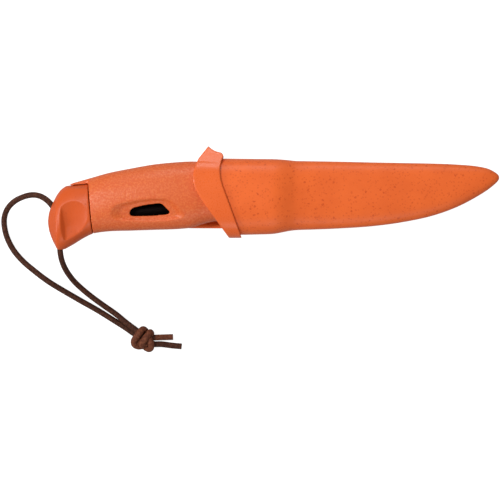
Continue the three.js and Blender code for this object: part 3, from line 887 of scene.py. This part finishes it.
def leather(name, dark, light):
    """Waxed round leather with grain cracks and paler rubbed spots."""
    made, tree, shader = new_material(name, specular=0.18)
    rubbed = fade(tree, grain(tree, 1.3, 5), 0.38, 0.7)
    tree.links.new(blend_colours(tree, rubbed, tone(dark), tone(light)), shader.inputs["Base Color"])
    fibre = grain(tree, 0.35, 5)
    tree.links.new(fade(tree, fibre, 0.3, 0.7, 0.72, 0.5), shader.inputs["Roughness"])
    pores = tree.nodes.new("ShaderNodeTexVoronoi")
    pores.feature = "DISTANCE_TO_EDGE"
    pores.inputs["Scale"].default_value = 1
    tree.links.new(scaled_place(tree, 0.55, (1, 1, 1)), pores.inputs["Vector"])
    cracks = bump(tree, shader, fade(tree, pores.outputs["Distance"], 0, 0.16), 0.05)
    bump(tree, shader, fibre, 0.08, cracks)
    return made


# Camera, floor and light


def camera():
    """Straight above the object and far off, as the photograph shows hardly any perspective."""
    lens = bpy.data.cameras.new("camera")
    lens.lens = 162.4
    lens.sensor_width = 36
    made = bpy.data.objects.new("camera", lens)
    made.location = (-0.0128, -0.0274, 1.223)
    bpy.context.scene.collection.objects.link(made)
    bpy.context.scene.camera = made


def seen_and_lit(tree, seen, lit):
    """One strength for what the camera sees, and another for the light that falls on the object."""
    ray = tree.nodes.new("ShaderNodeLightPath")
    change = tree.nodes.new("ShaderNodeMapRange")
    change.inputs["To Min"].default_value = lit
    change.inputs["To Max"].default_value = seen
    tree.links.new(ray.outputs["Is Camera Ray"], change.inputs["Value"])
    return change.outputs["Result"]


def floor():
    """Plain white floor, which glows a little so that shadows on it stay faint."""
    half = 6.0
    corners = [(-half, -half, 0), (half, -half, 0), (half, half, 0), (-half, half, 0)]
    made = new_object("floor", corners, [(0, 1, 2, 3)])
    made.location.z = -0.0002  # so that it doesn't coincide with the object's lowest faces
    material, tree, shader = new_material("floor_white", specular=0)
    shader.inputs["Base Color"].default_value = (0.35, 0.35, 0.35, 1)
    shader.inputs["Roughness"].default_value = 0.9
    shader.inputs["Emission Color"].default_value = (1, 1, 1, 1)
    tree.links.new(seen_and_lit(tree, seen=0.9, lit=0.1), shader.inputs["Emission Strength"])
    made.data.materials.append(material)


def soft_light(name, place, size, power):
    """Round lamp that shines at the origin, with its size in metres and its power in watts."""
    lamp = bpy.data.lights.new(name, "AREA")
    lamp.shape = "DISK"
    lamp.size = size
    lamp.energy = power
    made = bpy.data.objects.new(name, lamp)
    made.location = place
    toward = -made.location
    made.rotation_euler = toward.to_track_quat("-Z", "Y").to_euler()
    bpy.context.scene.collection.objects.link(made)


def studio():
    """White surroundings and four soft lamps."""
    world = bpy.data.worlds.new("studio")
    world.use_nodes = True
    tree = world.node_tree
    sky = tree.nodes["Background"]
    sky.inputs["Color"].default_value = (1, 1, 1, 1)
    tree.links.new(seen_and_lit(tree, seen=1.0, lit=0.32), sky.inputs["Strength"])
    bpy.context.scene.world = world
    soft_light("key", (-0.6, 0.2, 1.1), 0.3, 7.6)
    soft_light("left", (-1.1, -0.1, 0.55), 0.35, 4.6)
    soft_light("top", (0.0, 1.15, 0.6), 0.5, 4.8)
    soft_light("low", (0.2, -1.1, 0.85), 0.6, 3.6)
    bpy.context.scene.view_settings.view_transform = "Standard"
    bpy.context.scene.view_settings.look = "None"


camera()
floor()
studio()

cord_brown = leather("cord_leather", "3a1c11", "54301f")
knot_brown = leather("knot_leather", "5c2f1e", "7c4830")
upper_leg = cord_curve("lanyard_upper", [UPPER_LEG], cord_brown, "lanyard_upper_leg")
lower_leg = cord_curve("lanyard_lower", [LOWER_LEG], cord_brown, "lanyard_lower_leg")
knot = [
    cord_curve("knot_wraps", KNOT_WRAPS, knot_brown, "lanyard_knot", WRAP_DIAMETER),
    cord_curve("knot_core", KNOT_CORE, cord_brown, "lanyard_knot", INNER_DIAMETER),
    cord_curve("tail_short", [SHORT_TAIL], knot_brown, "lanyard_tail_short", INNER_DIAMETER),
    cord_curve("tail_long", [LONG_TAIL], cord_brown, "lanyard_tail_long", INNER_DIAMETER),
]

sheath_plastic = moulded_plastic("sheath_plastic", "e96829", "c04614", 0.55, 0.42, 0.03)
collar_plastic = moulded_plastic("collar_plastic", "e5662c", "cb501c", 0.15, 0.3, 0.01)
striker_plastic = moulded_plastic("striker_plastic", "cd541e", "b24414", 0.12, 0.4, 0.012)
# the core's near-black is partly its own dark plastic and partly painted shade, for the dark inside of
# the window where the core shows
core_plastic = moulded_plastic("core_plastic", "2a1511", "1d0d0a", 0.1, 0.5, 0.012)

as_piece(sheath_shell(), "sheath_shell", sheath_plastic, "sheath", "sheath_body")
as_piece(collar(), "mouth_collar", collar_plastic, "sheath", "sheath_collar")
as_piece(belt_clip(), "clip", collar_plastic, "clip", "belt_clip")
as_piece(blade(), "knife_blade", brushed_steel(), "knife", "blade")
as_piece(core(), "grip_core", core_plastic, "knife", "handle_core")
as_piece(grip(), "grip", grip_rubber(), "knife", "handle_grip")
as_piece(rod(), "striker_rod", striker_metal(), "rod", "ferro_rod")
as_piece(striker(), "striker_butt", striker_plastic, "striker", "striker_handle")
